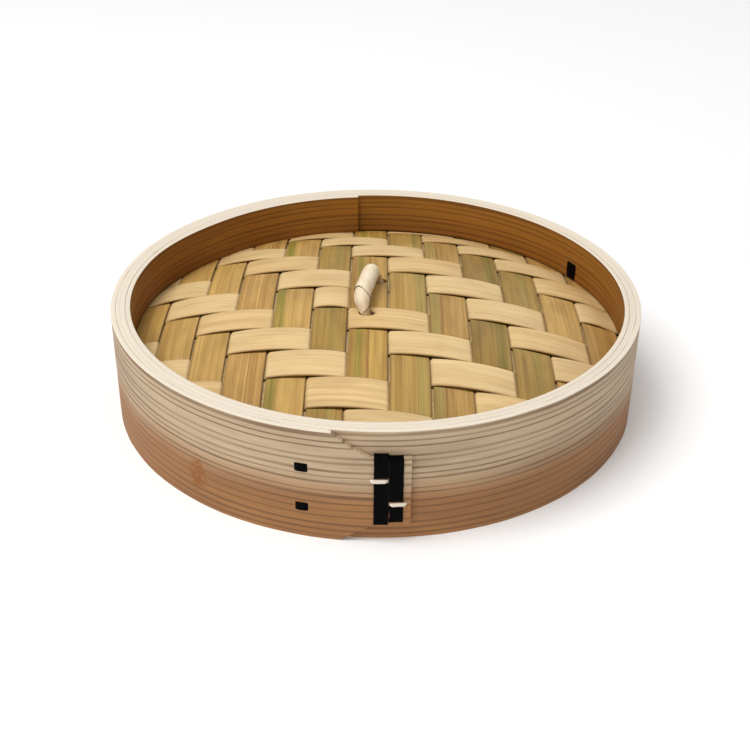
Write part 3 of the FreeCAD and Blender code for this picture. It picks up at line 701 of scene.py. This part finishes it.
def make_handle(look, core_look):
    """The core, two wraps that lap on the front bend, and a knot on each leg's end."""
    proud, low_taper, high_taper, blunt = 0.08 * MM, 3.8 * MM, 1.6 * MM, 0.45
    seam_depth, lump_height, lump_length = 0.16 * MM, 0.1 * MM, 2.6 * MM
    front_thick, front_pitch, back_thick, back_pitch = 2.65 * MM, 9 * MM, 2.95 * MM, 13 * MM
    back_before, back_past = 6 * MM, 0.6 * MM

    def core(s, angle):
        return CANE * (0.97 + 0.06 * wander(s, angle * MM, 3 * MM, 2))

    def wound(s, angle, low_end, high_end, thick, pitch):
        """Thins out from its thick middle to both ends, with a shallow winding seam."""
        taper = smooth((s - low_end) / low_taper) * smooth((high_end - s) / high_taper + blunt)
        seam = abs(math.sin(angle / 2 + s * math.pi / pitch))
        groove = seam_depth * (1 - smooth(seam / 0.3))
        lumps = lump_height * wander(s, angle * 2 * MM, lump_length, 7)
        return CANE + proud + (thick - CANE) * taper - groove + lumps

    def front(s, angle):
        return wound(s, angle, front_start, front_end, front_thick, front_pitch)

    def back(s, angle):
        low_end, high_end = back_start - back_before, back_end + back_past
        return wound(s, angle, low_end, high_end, back_thick, back_pitch)

    front_start, front_end = LEG + 1.0 * MM, LEG + 1.02 * BEND
    back_start, back_end = LEG + 0.76 * BEND, LOOP - LEG - 0.75 * BEND
    front_slants, back_slants = (0.8 * MM, 1.1 * MM, 2, 0.5), (1.9 * MM, 1.0 * MM, -0.9, 1)
    tube("cane_core", 0, LOOP, core, (0, 0, 0, 0), core_look, "handle_core")
    tube("cane_wrap_front", front_start, front_end, front, front_slants, look, "handle_wrap_front")
    tube("cane_wrap_back", back_start, back_end, back, back_slants, look, "handle_wrap_back")
    for sign, label in ((-1, "front"), (1, "back")):
        make_knot(f"cane_knot_{label}", sign * HANDLE_HALF, look, f"handle_knot_{label}")


def make_knot(name, x, look, replaces):
    """The leg's end tied in a small round knot of three turns."""
    radius, rows, around = 2.3 * MM, 22, 26
    points, grain, edge = [], [], []
    for n in range(rows + 1):
        polar = math.pi * (n + 0.15) / (rows + 0.3)
        for m in range(around):
            angle = 2 * math.pi * m / around
            turns = math.sin(polar) * math.cos(angle) * 0.8 + math.cos(polar) * 1.1
            rope = abs(math.sin(turns * math.pi * 1.5))
            r = radius * (0.84 + 0.14 * rope**0.6)
            local = Vector((math.sin(polar) * math.cos(angle), math.sin(polar) * math.sin(angle), 0))
            local.z = math.cos(polar)
            points.append(HANDLE_PLACE @ (Vector((x, 0, KNOT_HEIGHT)) + local * r))
            grain.append((turns * radius, angle * radius, 0))
            # Painted shade: the edge share is high in the grooves between the knot's turns, where the
            # cane's look darkens it.
            edge.append(0.8 * (1 - smooth(rope / 0.35)))
    faces = loft_faces(rows + 1, around, False)
    return piece(name, points, faces, grain, edge, look, "handle", [replaces])


# ---- bark lashings ----


def filleted(corners, radius, steps=4):
    """A closed polygon with each corner rounded."""
    points = []
    for n, corner in enumerate(corners):
        before, after = Vector(corners[n - 1]), Vector(corners[(n + 1) % len(corners)])
        here = Vector(corner)
        cut = min(radius, (before - here).length * 0.45, (after - here).length * 0.45)
        first = here + (before - here).normalized() * cut
        last = here + (after - here).normalized() * cut
        for k in range(steps + 1):
            share = k / steps
            points.append(first.lerp(here, share).lerp(here.lerp(last, share), share))
    return points


def band(name, azimuth, corners, width, look, replaces, seed, uneven=0.035):
    """A flat band along a closed route of (distance out, height) corners, a little bowed."""
    corner, spacing, bow_depth, wave_length = 0.5 * MM, 1.2 * MM, 0.1 * MM, 2.5 * MM
    route = []
    rounded = filleted(corners, corner)
    for here, there in zip(rounded, rounded[1:] + rounded[:1]):
        steps = max(1, math.ceil((there - here).length / spacing))
        route += [here.lerp(there, n / steps) for n in range(steps)]
    section = rounded_section(width, BARK, BARK * 0.4, 1, 6, 2)
    outward = direction(azimuth)
    across = Vector((-outward.y, outward.x, 0))
    points, grain, edge = [], [], []
    travelled = 0
    for n, here in enumerate(route):
        before, after = route[n - 1], route[(n + 1) % len(route)]
        forward = (after - before).normalized()
        normal = Vector((-forward.y, forward.x))
        travelled += (here - before).length
        narrow = 1 + uneven * wander(travelled, seed, wave_length, 4)
        for v, w in section:
            bow = bow_depth * (1 - (2 * v / width) ** 2)
            out, up = here + normal * (w - bow)
            place = outward * out + across * v * narrow
            points.append((place.x, place.y, up))
            grain.append((v, travelled, seed))
            edge.append(smooth(abs(v) / width * 2))
    faces = loft_faces(len(route), len(section), True)
    return piece(name, points, faces, grain, edge, look, "lid", replaces)


def make_column(name, azimuth, top, bottom, bridge, look, seed):
    """Over the tongue, under its wooden bridge, and back inside both layers of the lap."""
    gap, wide_gap, dip_depth = 0.05 * MM, 0.1 * MM, 1.1 * MM
    out = hoop_outside(azimuth + 360) + gap + BARK / 2
    behind = hoop_outside(azimuth) - BOARD - wide_gap - BARK / 2
    dip = out - dip_depth
    reach = BRIDGE / 2 + wide_gap + BARK / 2
    corners = [(behind, top), (out, top), (out, bridge + reach), (dip, bridge + reach)]
    corners += [(dip, bridge - reach), (out, bridge - reach), (out, bottom), (behind, bottom)]
    return band(f"bark_{name}", azimuth, corners, BARK_WIDTH, look, [name], seed)


def make_front_stitch(name, azimuth, height, look, seed):
    """A short level stitch, as a bowed patch that dives into the board at both ends."""
    length, width, thickness, corner = 4.5 * MM, 2.8 * MM, 0.7 * MM, 0.25 * MM
    bow, dive, sunk = 0.42 * MM, 0.25 * MM, 0.35 * MM
    out = hoop_outside(azimuth + 360)
    columns, rows = 14, 10
    points, grain, edge = [], [], []
    for n in range(columns + 1):
        s = -1 + 2 * n / columns
        rise = bow * (1 - abs(s) ** 3) - dive * abs(s) ** 8
        here_wide = width * (1 + 0.05 * wander(s, 0, 1, seed))
        ring = rounded_section(here_wide, thickness, corner, 1, rows, 2)
        angle = math.radians(azimuth) + s * length / 2 / out
        for v, w in ring:
            radius = out + rise + w - sunk
            points.append((radius * math.cos(angle), radius * math.sin(angle), height + v))
            grain.append((v, s * length / 2, seed))
            edge.append(smooth(abs(v) / width * 2))
    faces = loft_faces(columns + 1, len(ring), False)
    return piece(f"bark_{name}", points, faces, grain, edge, look, "lid", [name])


def make_ring_stitch(name, azimuth, look, seed):
    """Round the retaining ring's lower edge and through the inner board."""
    width, rise, depth, gap, low_gap = 4.8 * MM, 6.3 * MM, 1.2 * MM, 0.05 * MM, 0.1 * MM
    front, behind = RECESS_RADIUS - gap - BARK / 2, RING_RADIUS + depth
    top, low = RING_BOTTOM + rise, RING_BOTTOM + low_gap + BARK / 2
    corners = [(front, top), (behind, top), (behind, low), (front, low)]
    return band(f"bark_{name}", azimuth, corners, width, look, [name], seed, uneven=0.3)


def make_bridge(name, azimuth, height, left, right, look, seed):
    """The sliver of the tongue that holds a lashing down. Its ends sink into the board, from
    left to right of the azimuth."""
    thickness, corner, low_proud, more_proud, sunk = 0.6 * MM, 0.16 * MM, 0.25 * MM, 0.55 * MM, 0.3 * MM
    board_grain = 35 * MM
    out = hoop_outside(azimuth + 360)
    count = 18
    points, grain, edge = [], [], []
    for n in range(count + 1):
        s = left + (right - left) * n / count
        near_end = min(n, count - n) / count
        tall = BRIDGE * (0.55 + 0.45 * smooth(near_end / 0.12))
        tall *= 1 + 0.1 * wander(s, 0, 1.3 * MM, seed)
        proud = low_proud + more_proud * smooth(near_end / 0.16)
        ring = rounded_section(tall, thickness, corner, 1, 2, 2)
        angle = math.radians(azimuth) + s / out
        sway = 0.12 * MM * wander(s, 9, 2 * MM, seed)
        for v, w in ring:
            radius = out + proud - sunk + w
            points.append((radius * math.cos(angle), radius * math.sin(angle), height + v + sway))
            grain.append((math.radians(azimuth) * out + s, board_grain + v, radius))
            # The whole sliver takes the board's pale edge colour: partly the pale cut wood of its
            # sides, partly a painted highlight on its face where it bows out from the tongue.
            edge.append(0.9)
    faces = loft_faces(count + 1, len(ring), False)
    return piece(name, points, faces, grain, edge, look, "lid")


# ---- building the lid ----

CREAM = srgb(230, 219, 200)
KNOT = (math.radians(593.3) * OUTER_RADIUS, 11 * MM, 90.5 * MM)
outer_look = board_look(
    "cedar_outer", srgb(200, 176, 144), srgb(168, 118, 70), srgb(108, 74, 44), CREAM,
    20 * MM, 6 * MM, 0.72, KNOT,
)
INNER_LOOK = (srgb(160, 104, 28), srgb(150, 92, 20), srgb(92, 50, 4), CREAM, 30 * MM, 9 * MM, 0.6)
inner_look = board_look("cedar_inner", *INNER_LOOK)
TAN, OLIVE, STRAW = (206, 166, 92), (174, 140, 64), (226, 197, 142)
GREEN, GREY_GREEN, DARK_GREEN = (128, 124, 28), (150, 138, 70), (112, 104, 28)
BROWN = (150, 104, 46)
UNDER, RIB = ((208, 176, 116), (188, 154, 94)), ((196, 160, 98), (172, 136, 78))
tan_look = bamboo_look("bamboo_tan", TAN, (190, 148, 76))
rose_look = bamboo_look("bamboo_rose", (204, 162, 92), (186, 142, 74), [(3.2, 1.0, BROWN, 0.35)])
green_left_look = bamboo_look("bamboo_green_left", TAN, (190, 148, 78), [(-4.6, 1.9, GREEN, 0.8)])
olive_look = bamboo_look("bamboo_olive", OLIVE, (160, 126, 58), [(1.4, 1.6, GREY_GREEN, 0.4)])
streak_look = bamboo_look(
    "bamboo_green_streak", (198, 158, 80), (178, 138, 62),
    [(-3.0, 1.4, GREEN, 0.65), (0.2, 0.35, BROWN, 0.9), (-5.4, 0.8, BROWN, 0.5)],
)
grey_right_look = bamboo_look(
    "bamboo_grey_right", (188, 152, 78), (172, 134, 62), [(4.2, 1.9, GREY_GREEN, 0.6)]
)
brown_look = bamboo_look(
    "bamboo_brown", (190, 150, 80), (172, 132, 64),
    [(-4.4, 1.9, GREY_GREEN, 0.6), (-2.2, 0.3, BROWN, 0.8)],
)
dark_olive_look = bamboo_look(
    "bamboo_dark_olive", (164, 132, 60), (146, 114, 48),
    [(3.4, 1.8, DARK_GREEN, 0.55), (-1, 0.8, BROWN, 0.4)],
)
straw_look = bamboo_look("bamboo_straw", STRAW, (222, 192, 136), dark=(168, 128, 74))
warm_straw_look = bamboo_look(
    "bamboo_warm_straw", (228, 196, 138), (214, 180, 122), dark=(160, 120, 70)
)
bark, cane = bark_look(), cane_look("peeled_cane", (240, 224, 196), (226, 202, 166))
core_cane = cane_look("cane_stem", (214, 184, 138), (192, 158, 110))

make_outer_board(outer_look)
make_inner_board(inner_look)
make_ring_board(inner_look)
warp_looks = [
    tan_look, tan_look, tan_look, rose_look, green_left_look, olive_look, streak_look,
    grey_right_look, brown_look, dark_olive_look, olive_look, tan_look, rose_look,
]
strips = make_upper_weave(warp_looks, [straw_look, straw_look, warm_straw_look])
under_feet = ("warp_strip_07", "weft_strip_06", "weft_strip_08")
cut_slots([thing for thing in strips if thing.name.endswith(under_feet)])
make_handle(cane, core_cane)
for seed, (side, (azimuth, top, bottom, bridge, _, _)) in enumerate(LASHINGS.items(), 1):
    make_column(f"lashing_{side}", azimuth, top, bottom, bridge, bark, seed)
for seed, (level, height) in enumerate(STITCH_HEIGHTS.items(), 3):
    make_front_stitch(f"stitch_front_{level}", STITCH_AZIMUTH, height, bark, seed)
for seed, (side, azimuth) in enumerate(RING_STITCHES.items(), 5):
    make_ring_stitch(f"stitch_ring_{side}", azimuth, bark, seed)
for seed, (side, (azimuth, _, _, bridge, left, right)) in enumerate(LASHINGS.items(), 1):
    make_bridge(f"cedar_bridge_{side}", azimuth, bridge, left, right, outer_look, seed)

weft_turn = math.degrees(math.atan(WEFT_SLOPE))
carried = {
    "leaf_lining": leaf_look(),
    "under_warps": bamboo_look("bamboo_under_warps", *UNDER, turned=-90),
    "under_wefts": bamboo_look("bamboo_under_wefts", *UNDER, turned=weft_turn),
    "rib_upper": bamboo_look("bamboo_rib_upper", *RIB, turned=-RIB_AZIMUTH),
    "rib_lower": bamboo_look("bamboo_rib_lower", *RIB, turned=-RIB_AZIMUTH - 90),
    "support_ring": board_look("cedar_support", *INNER_LOOK, carried=True),
}
for node, look in carried.items():
    for place in frame["nodes"][node].material_slots:
        place.material = look

# ---- floor, lights and camera ----


def make_floor():
    """A flat, almost white floor, far larger than the view."""
    look = Look("white_floor", 0.8, 0.1)
    tone = look.noise(look.along_object(), (2, 2, 2), 2)
    colour = look.mix(tone, srgb(250, 250, 250), srgb(253, 253, 253))
    look.finish(colour, tone, 0.01 * MM)
    mesh = bpy.data.meshes.new("studio_floor")
    reach = 3.0
    corners = [(-reach, -reach, 0), (reach, -reach, 0), (reach, reach, 0), (-reach, reach, 0)]
    mesh.from_pydata(corners, [], [(0, 1, 2, 3)])
    mesh.materials.append(look.material)
    floor = bpy.data.objects.new("studio_floor", mesh)
    bpy.context.scene.collection.objects.link(floor)


def make_light(name, place, power, size, target):
    """A square soft light that faces a target."""
    lamp = bpy.data.lights.new(name, "AREA")
    lamp.energy, lamp.size = power, size
    thing = bpy.data.objects.new(name, lamp)
    thing.location = place
    thing.rotation_euler = (Vector(target) - Vector(place)).to_track_quat("-Z", "Y").to_euler()
    bpy.context.scene.collection.objects.link(thing)


def make_world(strength):
    """Even white light from everywhere."""
    world = bpy.data.worlds.new("soft_studio")
    world.use_nodes = True
    background = world.node_tree.nodes["Background"]
    background.inputs["Color"].default_value = (1, 1, 1, 1)
    background.inputs["Strength"].default_value = strength
    bpy.context.scene.world = world


def make_camera():
    """26.8 degrees above the rim's plane, with a slight roll. The rim's centre lies off the
    middle of the view by two slopes, to the right and up."""
    distance, elevation, roll = 0.4321, 0.46793, -0.01142
    slope_right, slope_up = 0.00207784, 0.06832894
    aim = Vector((slope_right, slope_up, 1)).normalized()
    back = Vector((0, -math.cos(elevation), math.sin(elevation)))
    right = Vector((1, 0, 0))
    up = back.cross(right)
    rolled_right = right * math.cos(roll) - up * math.sin(roll)
    rolled_up = right * math.sin(roll) + up * math.cos(roll)
    level = Matrix((rolled_right, rolled_up, -back))
    axes = Vector((0, 0, 1)).rotation_difference(aim).to_matrix() @ level
    turned = Matrix((axes[0], axes[1], -axes[2])).transposed()
    camera = bpy.data.cameras.new("camera")
    camera.sensor_width, camera.lens, camera.clip_start = 36, 60.0624, 0.01
    thing = bpy.data.objects.new("camera", camera)
    rim_centre = Vector((0, 0, RIM))
    thing.matrix_world = Matrix.Translation(rim_centre + back * distance) @ turned.to_4x4()
    bpy.context.scene.collection.objects.link(thing)
    bpy.context.scene.camera = thing


make_floor()
make_light("key", (-0.5, -0.3, 1.25), 13, 0.8, (0, 0, 0))
make_light("back", (0.6, 1.3, 1.1), 3.4, 1.0, (0.35, 1.0, 0))
make_light("fill", (-0.5, -1.2, 0.5), 3, 0.9, (0, 0, 0.02))
make_world(0.5)
make_camera()
bpy.context.scene.view_settings.view_transform = "Standard"
